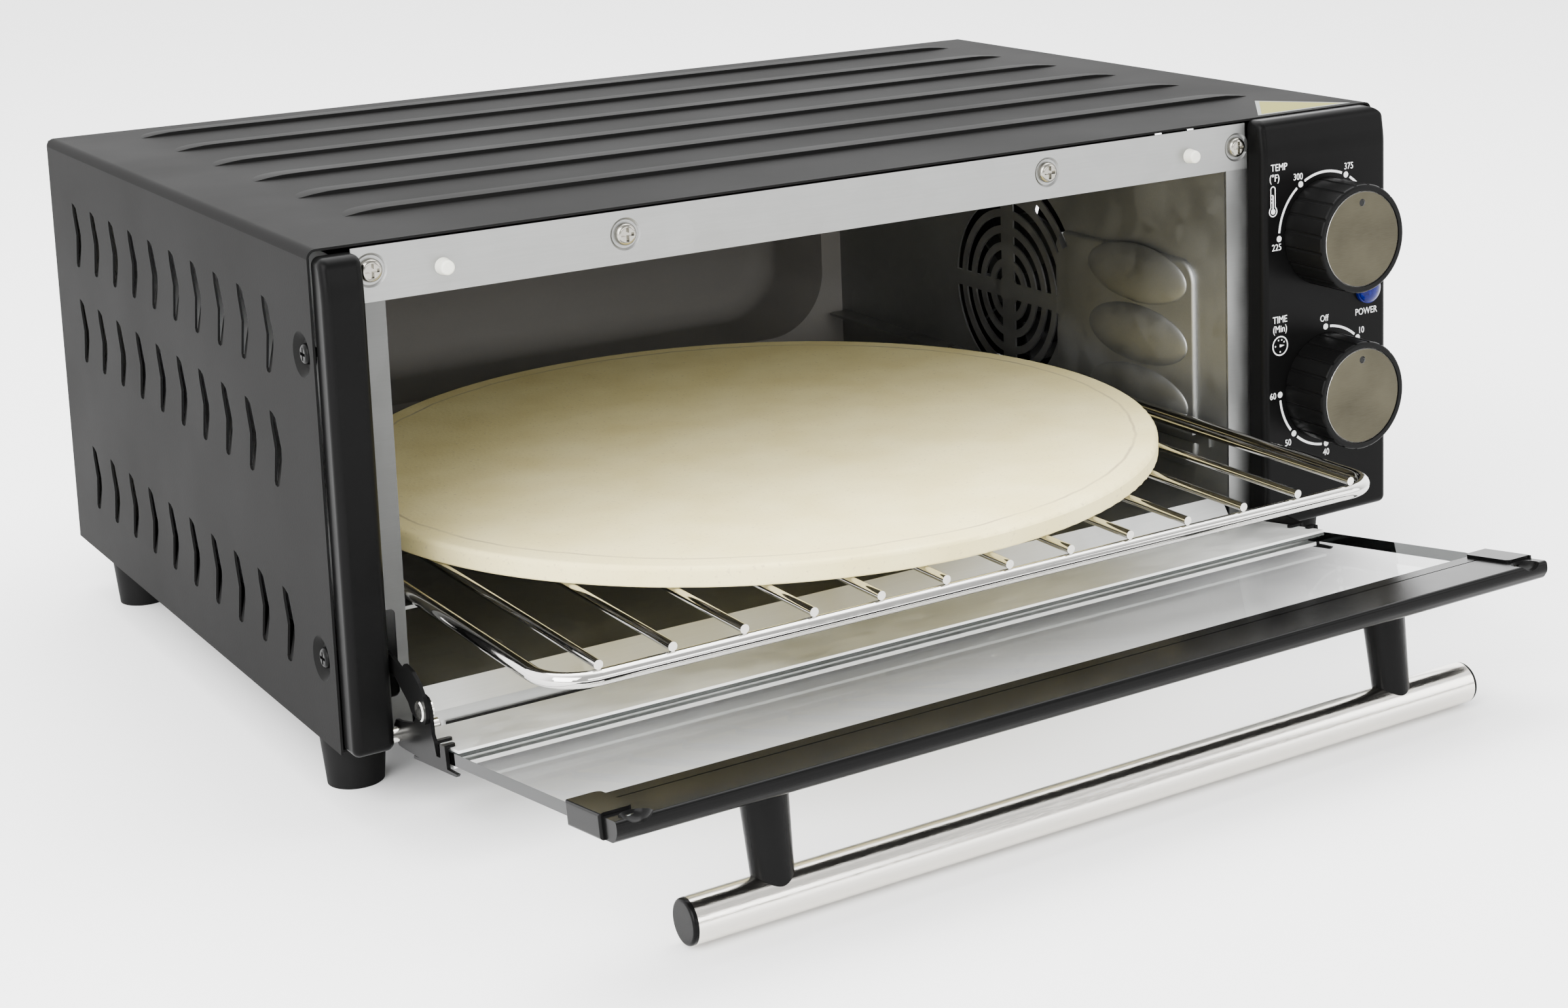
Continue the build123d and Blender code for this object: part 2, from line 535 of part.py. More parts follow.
def handle_cap():
    y, z = door_point(HANDLE_U, HANDLE_N)
    x0 = HANDLE_X - HANDLE_HALF
    cap = rod_x((x0 - 1.6, x0), y, z, HANDLE_R - 0.1)
    cap = fillet(cap.edges().group_by(Axis.X)[0], 1.0)
    return cap + rod_x((x0, x0 + 8), y, z, HANDLE_R - 1.0)


def handle_post(x):
    """Tapered oval post between the door rail and the handle."""
    y_top, z = door_point(HANDLE_U, RAIL_N)
    y_low = door_point(HANDLE_U, HANDLE_N)[0]
    ends = [Plane((x, y, z), x_dir=(1, 0, 0), z_dir=(0, -1, 0)) for y in (y_top, y_low + 3.0)]
    post = loft([ends[0] * Ellipse(7.6, 7.0), ends[1] * Ellipse(6.4, 6.0)])
    return post - rod_x((x - 12, x + 12), y_low, z, HANDLE_R + 0.05)


BRACKET_EAR = [(27.8, 4.0), (28.2, 11.5), (26.8, 15.2), (23.8, 16.0), (20.4, 14.6), (17.6, 9.0)]


def hinge_bracket(ear):
    """Left hinge bracket: an upright plate with folded grips; the ear carries the link arm."""
    outline = [(-4.2, 2.0), (-4.2, -2.0), (-2.0, -4.2), (2.0, -4.6), (30, -6.4), (44, -6.4), (45, -5.5),
               (37.2, -5.2), (37.2, 2.0), (33.4, 2.0), (32.8, -2.4), (29.6, -2.4), (28.8, 2.0)]
    outline += ear + [(13.0, 5.4), (2.0, 4.2), (-2.0, 4.2)]
    plate = side_shape([door_point(u, n) for u, n in outline], PLATE_X)
    plate += door_block((PLATE_X[0], PLATE_X[0] + 20), (10, 30), (-GLASS_T - 2.4, -GLASS_T - 1.45))
    for u, length in (((26.2, 28.7), 6.4), ((33.8, 36.8), 4.0)):
        prong = door_block((PLATE_X[0], PLATE_X[0] + length), u, (1.05, 2.0))
        plate += fillet(prong.edges().filter_by(Axis.Y).group_by(Axis.X)[-1], 1.0)
    if ear:
        y, z = door_point(RIVET_U, RIVET_N)
        plate -= rod_x((PLATE_X[0] - 1, PLATE_X[1] + 1), y, z, RIVET_R + 0.02)
    return plate - rod_x((PLATE_X[0] - 1, PLATE_X[1] + 1), HINGE_Y, HINGE_Z, PIN_R + 0.02)


def hinge_pin():
    pin = rod_x((TRIM_X1 - 4.6, PLATE_X[1] + 12.0), HINGE_Y, HINGE_Z, PIN_R)
    return chamfer(pin.edges(), 0.5)


def link_rivet():
    """Rivet that holds the arm to the bracket's ear, headed at both ends."""
    y, z = door_point(RIVET_U, RIVET_N)
    shank = rod_x((ARM_X[0] - FIT, PLATE_X[1]), y, z, RIVET_R)
    outer = rod_x((ARM_X[0] - 0.75, ARM_X[0] - FIT), y, z, 3.3)
    outer = chamfer(outer.edges().group_by(Axis.X)[0], 0.4)
    return shank + outer + rod_x((PLATE_X[1], PLATE_X[1] + 0.8), y, z, 2.9)


# ---------------------------------------------------------------- link arm
def rivet_at_rest():
    """(y, z) of the left rivet while the door is open."""
    u_dir = math.radians(90 - OPEN_ANGLE)
    y = HINGE_Y - RIVET_U * math.cos(u_dir) + RIVET_N * math.sin(u_dir)
    z = HINGE_Z + RIVET_U * math.sin(u_dir) + RIVET_N * math.cos(u_dir)
    return y, z


def link_arm():
    """Flat arm from the door's rivet through the jamb slot: a humped claw with a catch notch."""
    y0, z0 = rivet_at_rest()
    outline = [(-4.2, -1.5), (-4.0, 2.2), (-2.6, 5.2), (0.8, 8.6), (5.3, 11.0), (11.5, 11.8), (14.8, 9.2),
               (22.5, 11.4), (34.0, 12.0), (46.0, 9.0), (58.0, 3.5), (61.0, -1.5), (57.0, -4.5), (50.0, -1.0),
               (42.0, 3.0), (33.0, 5.4), (20.4, 5.2), (15.1, 2.5), (10.0, -0.2), (8.0, -2.6), (4.2, -4.0),
               (0.0, -4.4), (-2.8, -3.6)]
    arm = side_shape([(y0 + dy, z0 + dz) for dy, dz in outline], ARM_X)
    arm -= rod_x((ARM_X[0] - 1, ARM_X[1] + 1), y0 + 57, z0 - 0.8, 1.5)
    return arm - rod_x((ARM_X[0] - 1, ARM_X[1] + 1), y0, z0, RIVET_R + FIT)


# ---------------------------------------------------------------- rack and stone
def rack_frame():
    """Closed loop of thick wire with rounded corners."""
    length, width = RACK_LENGTH - 2 * RACK_R, 2 * (RACK_HALF - RACK_R)
    loop = RectangleRounded(width, length, RACK_CORNER).wires()[0]
    loop = Pos(MID_X, RACK_Y0 + RACK_LENGTH / 2, RACK_Z) * loop
    start = loop.edges().sort_by(Axis.X)[0]
    section = Plane(start @ 0.5, z_dir=start % 0.5) * Circle(RACK_R)
    return sweep(section, path=loop)


def rack_wires():
    """Thin wires that carry the stone, lying across the front and rear rails."""
    wires = []
    for i in range(WIRE_COUNT):
        x = MID_X + WIRE_PITCH * (i - (WIRE_COUNT - 1) / 2)
        wires.append(rod_y(x, (RACK_Y0 + 2.2, RACK_Y0 + RACK_LENGTH - 2.2), WIRE_Z, WIRE_R))
    return group(wires)


def pizza_stone():
    stone = Pos(STONE_X, STONE_Y, STONE_Z + STONE_T / 2) * Cylinder(STONE_R, STONE_T)
    stone = fillet(stone.edges().group_by(Axis.Z)[-1], 1.6)
    return fillet(stone.edges().group_by(Axis.Z)[0], 0.8)


# ---------------------------------------------------------------- write every node
def cabinet_nodes():
    left = cover_left()
    left_screws = [screw_facing(TO_LEFT, (-HALF + DIMPLE_DEPTH, y, z), (3.4, 1.9, 1.6, 5.0))
                   for y, z in SIDE_SCREWS]
    right_screws = [mirror_x(screw, 0) for screw in left_screws]
    foot_screws = [screw_facing(Rot(0, 0, 0), (x, y, FLOOR_Z + SHEET), (3.4, 2.0, 1.6, 8.0))
                   for x in (-FOOT_X, FOOT_X) for y in FOOT_YS]
    return {
        "cover_top": cover_top(),
        "cover_left": left,
        "cover_right": mirror_x(left, 0),
        "bottom_pan": bottom_pan(),
        "rear_panel": rear_panel(),
        "rear_bulge": rear_bulge(),
        "cord_gland": cord_gland(),
        "feet": group([foot(x, y) for x in (-FOOT_X, FOOT_X) for y in FOOT_YS]),
        "foot_screws": group(foot_screws),
        "side_screws": group(left_screws + right_screws),
        "rear_screws": group([screw_facing(TO_BACK, (x, DEPTH, z), (3.4, 1.9, 1.6, 6.0))
                              for x, z in REAR_SCREWS]),
    }


def cavity_nodes():
    wall, ledge = cavity_side(), rack_ledge()
    return {
        "cavity_left": wall,
        "cavity_right": mirror_x(wall) - grille_slots(),
        "cavity_roof": cavity_roof(),
        "crumb_tray": crumb_tray(),
        "rack_ledges": group([ledge, mirror_x(ledge)]),
        "heating_rods_upper": heating_rods("upper"),
        "heating_rods_lower": heating_rods("lower"),
        "element_bushes": element_bushes(),
    }


def front_nodes():
    rail_screws = [screw_facing(TO_FRONT, (x, 0.5, z)) for x, z in RAIL_SCREWS]
    return {
        "front_rail": front_rail(),
        "rail_screws": group(rail_screws),
        "bumpers": group([bumper(x) for x in BUMPER_X]),
        "jamb_left": slotted_jamb(),
        "jamb_right": mirror_x(jamb()),
        "sill": sill(),
        "sill_bead": sill_bead(),
        "left_trim": left_trim(),
        "control_panel": control_panel(),
        "thermostat": control_case(TEMP_Z, 15.0, 30.0),
        "timer": control_case(TIMER_Z, 22.0, 36.0),
        "lamp_lens": lamp_lens(),
        "fan_motor": fan_motor(),
    }


def knob_nodes():
    nodes = {}
    for name, z in (("temp", TEMP_Z), ("timer", TIMER_Z)):
        nodes[f"{name}_knob"] = knob_body(z)
        nodes[f"{name}_knob_cap"] = knob_cap(z)
        nodes[f"{name}_shaft"] = shaft(z)
    return nodes


def door_nodes():
    closed = {
        "door_glass": door_glass(),
        "door_channel": door_channel(),
        "door_rail": door_rail(),
        "handle_tube": handle_tube(),
        "handle_caps": group([handle_cap(), mirror_x(handle_cap(), HANDLE_X)]),
        "handle_posts": group([handle_post(MID_X - POST_HALF), handle_post(MID_X + POST_HALF)]),
        "hinge_bracket_left": hinge_bracket(BRACKET_EAR),
        "hinge_bracket_right": mirror_x(hinge_bracket([])),
        "link_rivet": link_rivet(),
    }
    for name, piece in (("door_corner", door_corner()), ("hinge_pin", hinge_pin())):
        closed[f"{name}_left"] = piece
        closed[f"{name}_right"] = mirror_x(piece)
    return {name: open_door(shape) for name, shape in closed.items()}


def loose_nodes():
    return {
        "link_arm": link_arm(),
        "fan_wheel": fan_wheel(),
        "fan_shaft": fan_shaft(),
        "rack_frame": rack_frame(),
        "rack_wires": rack_wires(),
        "pizza_stone": pizza_stone(),
    }


os.makedirs("parts", exist_ok=True)
for nodes in (cabinet_nodes(), cavity_nodes(), front_nodes(), knob_nodes(), door_nodes(), loose_nodes()):
    for name, shape in nodes.items():
        save(name, shape)
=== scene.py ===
import json
import math
import bpy
from mathutils import Euler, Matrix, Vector


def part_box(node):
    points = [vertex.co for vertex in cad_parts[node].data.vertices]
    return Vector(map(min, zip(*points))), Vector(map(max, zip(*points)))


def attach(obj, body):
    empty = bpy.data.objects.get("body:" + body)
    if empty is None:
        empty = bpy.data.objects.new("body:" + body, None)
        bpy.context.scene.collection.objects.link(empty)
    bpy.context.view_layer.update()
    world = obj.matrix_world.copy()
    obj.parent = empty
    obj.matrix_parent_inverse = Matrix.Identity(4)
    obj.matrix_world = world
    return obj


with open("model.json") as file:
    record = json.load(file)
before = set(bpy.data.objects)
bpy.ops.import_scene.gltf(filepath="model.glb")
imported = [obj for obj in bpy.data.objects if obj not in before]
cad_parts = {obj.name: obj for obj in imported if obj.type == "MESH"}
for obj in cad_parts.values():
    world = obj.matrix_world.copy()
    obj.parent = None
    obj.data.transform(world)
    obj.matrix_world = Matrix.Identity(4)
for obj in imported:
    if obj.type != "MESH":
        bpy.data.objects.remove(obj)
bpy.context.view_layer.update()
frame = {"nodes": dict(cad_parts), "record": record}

MM = 0.001


def middle(node):
    """The centre of a node's bounding box."""
    low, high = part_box(node)
    return (low + high) / 2


# ---------------------------------------------------------------- node helpers
class Shader:
    """A Principled material and the few nodes that give it its detail."""

    def __init__(self, name, color, roughness, **sockets):
        self.material = bpy.data.materials.new(name)
        self.material.use_nodes = True
        self.tree = self.material.node_tree
        self.surface = self.tree.nodes["Principled BSDF"]
        self.set("Base Color", (*color, 1))
        self.set("Roughness", roughness)
        for socket, value in sockets.items():
            self.set(socket.replace("_", " "), value)
        self.place = self.node("ShaderNodeTexCoord").outputs["Object"]
        self.normal = None

    def set(self, socket, value):
        self.surface.inputs[socket].default_value = value

    def node(self, kind, **settings):
        made = self.tree.nodes.new(kind)
        for key, value in settings.items():
            setattr(made, key, value)
        return made

    def link(self, source, target):
        self.tree.links.new(source, target)

    def stretched(self, stretch):
        """Object coordinates, scaled along each axis."""
        if stretch is None:
            return self.place
        mapping = self.node("ShaderNodeMapping")
        mapping.inputs["Scale"].default_value = stretch
        self.link(self.place, mapping.inputs["Vector"])
        return mapping.outputs["Vector"]

    def noise(self, scale, detail, stretch=None):
        made = self.node("ShaderNodeTexNoise")
        made.inputs["Scale"].default_value = scale
        made.inputs["Detail"].default_value = detail
        self.link(self.stretched(stretch), made.inputs["Vector"])
        return made.outputs["Fac"]

    def cells(self, scale):
        """A random grey for each cell."""
        made = self.node("ShaderNodeTexVoronoi")
        made.inputs["Scale"].default_value = scale
        self.link(self.place, made.inputs["Vector"])
        return made.outputs["Color"]

    def remap(self, value, low, high, source=(0.3, 0.7)):
        """value, which mostly lies in source, spread over low..high."""
        made = self.node("ShaderNodeMapRange")
        for socket, number in zip(("From Min", "From Max", "To Min", "To Max"), (*source, low, high)):
            made.inputs[socket].default_value = number
        self.link(value, made.inputs["Value"])
        return made.outputs["Result"]

    def math(self, operation, first, second):
        made = self.node("ShaderNodeMath", operation=operation)
        for socket, value in zip(made.inputs, (first, second)):
            if isinstance(value, (int, float)):
                socket.default_value = value
            else:
                self.link(value, socket)
        return made.outputs["Value"]

    def mix(self, fac, first, second):
        """A colour between first and second."""
        made = self.node("ShaderNodeMix", data_type="RGBA")
        self.link(fac, made.inputs["Factor"])
        for socket, value in zip(made.inputs[6:8], (first, second)):
            if isinstance(value, tuple):
                socket.default_value = (*value, 1)
            else:
                self.link(value, socket)
        return made.outputs[2]           # the colour output

    def inward(self, centre):
        """Positive where the surface faces the given point, and larger the further off it is."""
        reach = self.node("ShaderNodeVectorMath", operation="SUBTRACT")
        reach.inputs[0].default_value = centre
        self.link(self.place, reach.inputs[1])
        product = self.node("ShaderNodeVectorMath", operation="DOT_PRODUCT")
        self.link(reach.outputs["Vector"], product.inputs[0])
        self.link(self.node("ShaderNodeTexCoord").outputs["Normal"], product.inputs[1])
        return product.outputs["Value"]

    def facing(self, axis):
        """How squarely the surface faces along one of the object's own axes, signed."""
        split = self.node("ShaderNodeSeparateXYZ")
        self.link(self.node("ShaderNodeTexCoord").outputs["Normal"], split.inputs[0])
        return split.outputs[axis]

    def color(self, source):
        self.link(source, self.surface.inputs["Base Color"])

    def roughness(self, source):
        self.link(source, self.surface.inputs["Roughness"])

    def bump(self, height, distance, strength=1.0):
        made = self.node("ShaderNodeBump")
        made.inputs["Strength"].default_value = strength
        made.inputs["Distance"].default_value = distance
        self.link(height, made.inputs["Height"])
        if self.normal is not None:
            self.link(self.normal, made.inputs["Normal"])
        self.normal = made.outputs["Normal"]
        self.link(self.normal, self.surface.inputs["Normal"])


# ---------------------------------------------------------------- materials
def powder_coat(name="powder_coat", inner=None, gloss=0.012):
    """Satin black powder coat with fine orange peel; inner is the bare side facing the cavity, if any."""
    coat = Shader(name, (0.006, 0.006, 0.006), 0.5, Specular_IOR_Level=gloss)
    cloud, grain = coat.noise(14, 4), coat.noise(1500, 2)
    black = coat.mix(cloud, (0.0055, 0.0055, 0.0055), (0.0095, 0.0094, 0.0092))
    if inner is not None:
        bulge = middle("rear_bulge")
        cavity = (bulge.x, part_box("rear_bulge")[0].y - 50 * MM, bulge.z)
        inside = coat.remap(coat.inward(cavity), 0, 1, (0.002, 0.006))
        dull = coat.mix(cloud, tuple(0.85 * c for c in inner), inner)
        black = coat.mix(inside, black, dull)
    coat.color(black)
    coat.roughness(coat.remap(cloud, 0.46, 0.54))
    coat.bump(grain, 0.00006, 0.5)
    return coat.material


def moulded_black(name, roughness, gloss=0.05):
    """Black moulded plastic with a fine spark-eroded texture."""
    plastic = Shader(name, (0.003, 0.003, 0.003), roughness, Specular_IOR_Level=gloss)
    grain, patch = plastic.noise(2000, 2), plastic.noise(30, 3)
    plastic.color(plastic.mix(patch, (0.002, 0.002, 0.002), (0.004, 0.004, 0.004)))
    plastic.roughness(plastic.remap(patch, roughness - 0.03, roughness + 0.05))
    plastic.bump(grain, 0.00003, 0.4)
    return plastic.material


def zinc_sheet(name, tone, roughness=0.36):
    """Galvanised sheet: faint spangle, fine rolling lines and soft stains."""
    zinc = Shader(name, (tone, tone, tone * 0.98), roughness, Metallic=1.0)
    spangle, stain = zinc.cells(120), zinc.noise(22, 5)
    lines = zinc.noise(60, 2, stretch=(1, 30, 30))
    dull = zinc.mix(stain, (tone * 0.86, tone * 0.87, tone * 0.85), (tone * 1.1, tone * 1.11, tone * 1.09))
    zinc.color(zinc.mix(zinc.remap(lines, 0.0, 0.25), dull, (tone * 0.8, tone * 0.81, tone * 0.8)))
    flecks = zinc.remap(spangle, -0.04, 0.05, (0, 1))
    zinc.roughness(zinc.math("ADD", flecks, zinc.remap(stain, roughness - 0.06, roughness + 0.08)))
    zinc.bump(lines, 0.00002, 0.5)
    zinc.bump(zinc.noise(9, 2), 0.0008, 0.25)
    return zinc.material


def brushed_steel(name, color, roughness, stretch):
    """Brushed steel, drawn along the axis with the smallest stretch."""
    steel = Shader(name, color, roughness, Metallic=1.0)
    hair = steel.noise(900, 3, stretch=stretch)
    steel.color(steel.mix(hair, tuple(c * 0.86 for c in color), tuple(min(1.0, c * 1.1) for c in color)))
    steel.roughness(steel.remap(hair, roughness - 0.05, roughness + 0.07))
    steel.bump(hair, 0.00003, 0.5)
    return steel.material


def knob_cap_steel():
    """Dull warm steel disc with a painted highlight on its bevel."""
    cap = Shader("knob_cap_steel", (0.05, 0.045, 0.03), 0.38, Metallic=1.0)
    hair, cloud = cap.noise(900, 3, stretch=(0.3, 1, 6)), cap.noise(45, 3)
    face = cap.mix(cap.remap(cloud, 0, 1), (0.032, 0.029, 0.019), (0.054, 0.049, 0.033))
    face = cap.mix(cap.remap(hair, 0, 0.3), face, (0.072, 0.067, 0.050))
    # painted highlight: faces turned off the front, round the bevel, are painted near-white
    painted_bevel_highlight = cap.remap(cap.facing("Y"), 0, 1, (-0.97, -0.90))
    cap.color(cap.mix(painted_bevel_highlight, face, (0.80, 0.79, 0.76)))
    cap.roughness(cap.remap(hair, 0.34, 0.44))
    cap.bump(hair, 0.00003, 0.5)
    return cap.material


def chrome(name="chrome_wire", tint=(0.56, 0.55, 0.53), roughness=0.06, painted_front_highlight=False):
    """Bright plating with faint drawing lines; optionally, surfaces that face front (mostly the wire ends)
    are painted pale as a painted highlight and made rough.
    """
    plate = Shader(name, tint, roughness, Metallic=1.0)
    wear = plate.noise(300, 3)
    color = plate.mix(wear, tuple(c * 0.9 for c in tint), tint)
    rough = plate.remap(wear, roughness - 0.02, roughness + 0.06)
    if painted_front_highlight:
        # painted highlight: surfaces facing front turn pale, and rough
        end_glint = plate.remap(plate.facing("Y"), 1, 0, (-0.95, -0.6))
        color = plate.mix(end_glint, color, (0.95, 0.93, 0.88))
        rough = plate.math("MAXIMUM", rough, plate.math("MULTIPLY", end_glint, 0.6))
    plate.color(color)
    plate.roughness(rough)
    return plate.material


def clear_glass():
    """Thin clear pane: broad faces that mirror more at a glancing angle, and dark cut edges."""
    pane = Shader("door_pane", (0.86, 0.90, 0.89), 0.02, Metallic=1.0)
    broad = pane.math("ABSOLUTE", pane.facing("Z"), 0)
    edge = pane.remap(broad, 1, 0, (0.5, 0.9))
    mirror = pane.node("ShaderNodeFresnel")
    mirror.inputs["IOR"].default_value = 1.3
    smears = pane.remap(pane.noise(20, 4), 0.01, 0.03)
    gloss = pane.math("ADD", pane.math("MULTIPLY", mirror.outputs["Fac"], 0.22), smears)
    pane.color(pane.mix(edge, (0.86, 0.90, 0.89), (0.004, 0.005, 0.005)))
    pane.link(pane.math("MAXIMUM", gloss, edge), pane.surface.inputs["Alpha"])
    pane.bump(pane.noise(6, 2), 0.0004, 0.06)
    return pane.material


def baking_stone():
    """Cream ceramic stone: mottled, speckled, with a fine ring just inside its rim."""
    low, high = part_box("pizza_stone")
    centre, radius = middle("pizza_stone"), (high.x - low.x) / 2
    stone = Shader("baking_stone", (0.74, 0.69, 0.56), 0.85)
    mottle, speck = stone.noise(40, 6), stone.noise(700, 2)
    base = stone.mix(stone.remap(mottle, 0, 1), (0.78, 0.67, 0.31), (0.87, 0.77, 0.40))
    base = stone.mix(stone.remap(speck, 0, 0.5, (0.62, 0.75)), base, (0.50, 0.40, 0.26))
    offset = stone.node("ShaderNodeVectorMath", operation="SUBTRACT")
    offset.inputs[1].default_value = centre
    stone.link(stone.place, offset.inputs[0])
    flat = stone.node("ShaderNodeVectorMath", operation="MULTIPLY")
    flat.inputs[1].default_value = (1, 1, 0)
    stone.link(offset.outputs["Vector"], flat.inputs[0])
    span = stone.node("ShaderNodeVectorMath", operation="LENGTH")
    stone.link(flat.outputs["Vector"], span.inputs[0])
    wander = stone.remap(stone.noise(60, 4), -0.0006, 0.0006)
    ring = stone.math("SUBTRACT", stone.math("ADD", span.outputs["Value"], wander), radius - 0.0085)
    ring = stone.math("ABSOLUTE", ring, 0)
    line = stone.math("MULTIPLY", stone.remap(ring, 1, 0, (0.0002, 0.0008)), stone.remap(mottle, 0.25, 0.9))
    stone.color(stone.mix(line, base, (0.36, 0.29, 0.19)))
    stone.bump(speck, 0.0002, 0.5)
    stone.bump(line, 0.0005, -0.8)
    return stone.material


def soft_rubber(name, color):
    """Dark rubber, faintly dusty."""
    rubber = Shader(name, color, 0.6, Specular_IOR_Level=0.05)
    rubber.bump(rubber.noise(900, 2), 0.00004, 0.5)
    dusty = rubber.noise(80, 4)
    rubber.color(rubber.mix(dusty, color, tuple(c * 1.6 for c in color)))
    return rubber.material


def blue_lens():
    """Small unlit indicator lens, faceted inside."""
    lens = Shader("blue_lens", (0.001, 0.003, 0.08), 0.12, Specular_IOR_Level=0.12)
    facets = lens.cells(900)
    lens.color(lens.mix(lens.remap(facets, 0, 1, (0, 1)), (0.001, 0.002, 0.05), (0.002, 0.006, 0.13)))
    return lens.material


def print_ink(name, color):
    """Flat ink, printed a little unevenly."""
    ink = Shader(name, color, 0.5, Specular_IOR_Level=0.1)
    ink.color(ink.mix(ink.noise(900, 3), tuple(c * 0.93 for c in color), color))
    return ink.material


def plain_plastic(name, color, roughness):
    """Plastic or ceramic with faint flow marks."""
    plastic = Shader(name, color, roughness)
    flow = plastic.noise(50, 4)
    plastic.color(plastic.mix(flow, tuple(c * 0.88 for c in color), color))
    plastic.bump(plastic.noise(1200, 2), 0.00003, 0.4)
    return plastic.material


FINISH = {
    "cabinet_black": powder_coat(),
    "rear_sheet": powder_coat("rear_sheet", (0.24, 0.23, 0.215)),
    "trim_black": moulded_black("trim_plastic", 0.3, gloss=0.035),
    "rubber_black": soft_rubber("foot_rubber", (0.004, 0.004, 0.004)),
    "screw_black": moulded_black("screw_black", 0.28),
    "zinc_sheet": zinc_sheet("front_zinc", 0.25, 0.42),
    "screw_bright": chrome("screw_plating", (0.26, 0.25, 0.22), 0.14),
    "silicone": plain_plastic("silicone_bumper", (0.66, 0.66, 0.58), 0.35),
    "cavity_dark": zinc_sheet("cavity_zinc", 0.29, 0.48),
    "heater_steel": brushed_steel("heater_sheath", (0.30, 0.28, 0.26), 0.4, (1, 8, 8)),
    "ceramic_white": plain_plastic("ceramic_bush", (0.25, 0.24, 0.22), 0.5),
    "control_case": plain_plastic("control_case", (0.12, 0.12, 0.11), 0.5),
    "lamp_blue": blue_lens(),
    "motor_steel": brushed_steel("motor_steel", (0.52, 0.52, 0.51), 0.35, (8, 1, 1)),
    # painted shade: the aluminium fan is given a near-black tone for the shade behind the grille
    "fan_aluminium": brushed_steel("fan_aluminium", (0.10, 0.10, 0.10), 0.5, (1, 3, 3)),
    "knob_black": moulded_black("knob_plastic", 0.36),
    "knob_steel": knob_cap_steel(),
    "door_glass": clear_glass(),
    "door_bright": zinc_sheet("channel_zinc", 0.85, 0.55),
    "door_black": moulded_black("door_rail_black", 0.2),
    "handle_steel": brushed_steel("handle_steel", (0.80, 0.77, 0.71), 0.14, (0.3, 6, 6)),
    "handle_black": moulded_black("handle_black", 0.24),
    "hinge_black": moulded_black("hinge_black", 0.3),
    "hinge_bright": chrome("hinge_plating", (0.78, 0.77, 0.72), 0.14),
    "rack_chrome": chrome(),
    "stone_cream": baking_stone(),
}
# pieces that look different from the rest of their group; the jambs are darker copies of the front zinc as
# painted shade, the sill a brighter copy as painted light
OWN_FINISH = {
    "cover_top": powder_coat("powder_coat_top", gloss=0.006),
    "rack_wires": chrome("rack_wire_chrome", painted_front_highlight=True),
    # painted shade: the jamb zinc is darkened
    "jamb_left": zinc_sheet("jamb_zinc_left_painted_shade", 0.09, 0.42),
    "jamb_right": zinc_sheet("jamb_zinc_right_painted_shade", 0.24, 0.42),
    # painted light: the sill zinc is brightened
    "sill": zinc_sheet("sill_zinc_painted_light", 0.62, 0.42),
}
WHITE_INK = print_ink("white_ink", (0.82, 0.82, 0.82))
YELLOW_INK = print_ink("yellow_ink", (0.15, 0.14, 0.001))
PALE_INK = print_ink("pale_ink", (0.16, 0.17, 0.16))
MARK_INK = print_ink("mark_ink", (0.01, 0.01, 0.01))

for part in frame["record"]["subparts"]:
    node = frame["nodes"][part["node"]]
    node.data.materials.clear()
    node.data.materials.append(OWN_FINISH.get(part["node"], FINISH[part["material_slot"]]))


# ---------------------------------------------------------------- printed dials
def add_mesh(name, points, faces, material, body, slot):
    mesh = bpy.data.meshes.new(name)
    mesh.from_pydata(points, [], faces)
    mesh.materials.append(material)
    made = bpy.data.objects.new(name, mesh)
    bpy.context.scene.collection.objects.link(made)
    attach(made, body)
    return made


INK_DEPTH = 0.08 * MM
MARK_SIZE, LABEL_SIZE, POWER_SIZE = 3.7 * MM, 3.9 * MM, 3.8 * MM
panel_low, panel_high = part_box("control_panel")
INK_Y = panel_low.y - INK_DEPTH
CAP = {name: middle(f"{name}_knob_cap") for name in ("temp", "timer")}
RING, DOT_R, ARC_WIDTH = 23.6 * MM, 1.2 * MM, 0.95 * MM      # the printed scale
DOT_GAP = 5.5                        # degrees left clear beside each dot


def around(centre, radius, degrees):
    """A point on the panel's face, degrees clockwise from the top."""
    turn = math.radians(degrees)
    return Vector((centre.x + radius * math.sin(turn), INK_Y, centre.z + radius * math.cos(turn)))


def flat_piece(outlines):
    """Points and faces of closed outlines on the panel's face."""
    points, faces = [], []
    for outline in outlines:
        faces.append(list(range(len(points), len(points) + len(outline))))
        points += outline
    return points, faces


def dot_outline(centre, radius):
    return [around(centre, radius, -15 * i) for i in range(24)]


def arc_outlines(centre, radius, width, start, end, step=3):
    """Quads along an arc."""
    count = max(1, round(abs(end - start) / step))
    quads = []
    for i in range(count):
        a, b = (start + (end - start) * k / count for k in (i, i + 1))
        quads.append([around(centre, radius - width / 2, a), around(centre, radius + width / 2, a),
                      around(centre, radius + width / 2, b), around(centre, radius - width / 2, b)])
    return quads


def print_scale(name, centre, degrees):
    """Dots at the numbers, and arcs from dot to dot."""
    outlines = [dot_outline(around(centre, RING, d), DOT_R) for d in degrees]
    for start, end in zip(degrees, degrees[1:]):
        outlines += arc_outlines(centre, RING, ARC_WIDTH, start + DOT_GAP, end - DOT_GAP)
    add_mesh(name, *flat_piece(outlines), WHITE_INK, "oven", "trim_black")


def print_text(name, words, x, z, size):
    """One flat line of narrow lettering, centred on (x, z)."""
    curve = bpy.data.curves.new(name, "FONT")
    curve.body, curve.size = words, size
    curve.align_x, curve.align_y = "CENTER", "CENTER"
    curve.extrude = INK_DEPTH / 2
    curve.resolution_u = 3
    curve.materials.append(WHITE_INK)
    made = bpy.data.objects.new(name, curve)
    made.location, made.rotation_euler = (x, INK_Y, z), (math.pi / 2, 0, 0)
    made.scale = (0.88, 1, 1)
    bpy.context.scene.collection.objects.link(made)
    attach(made, "oven")


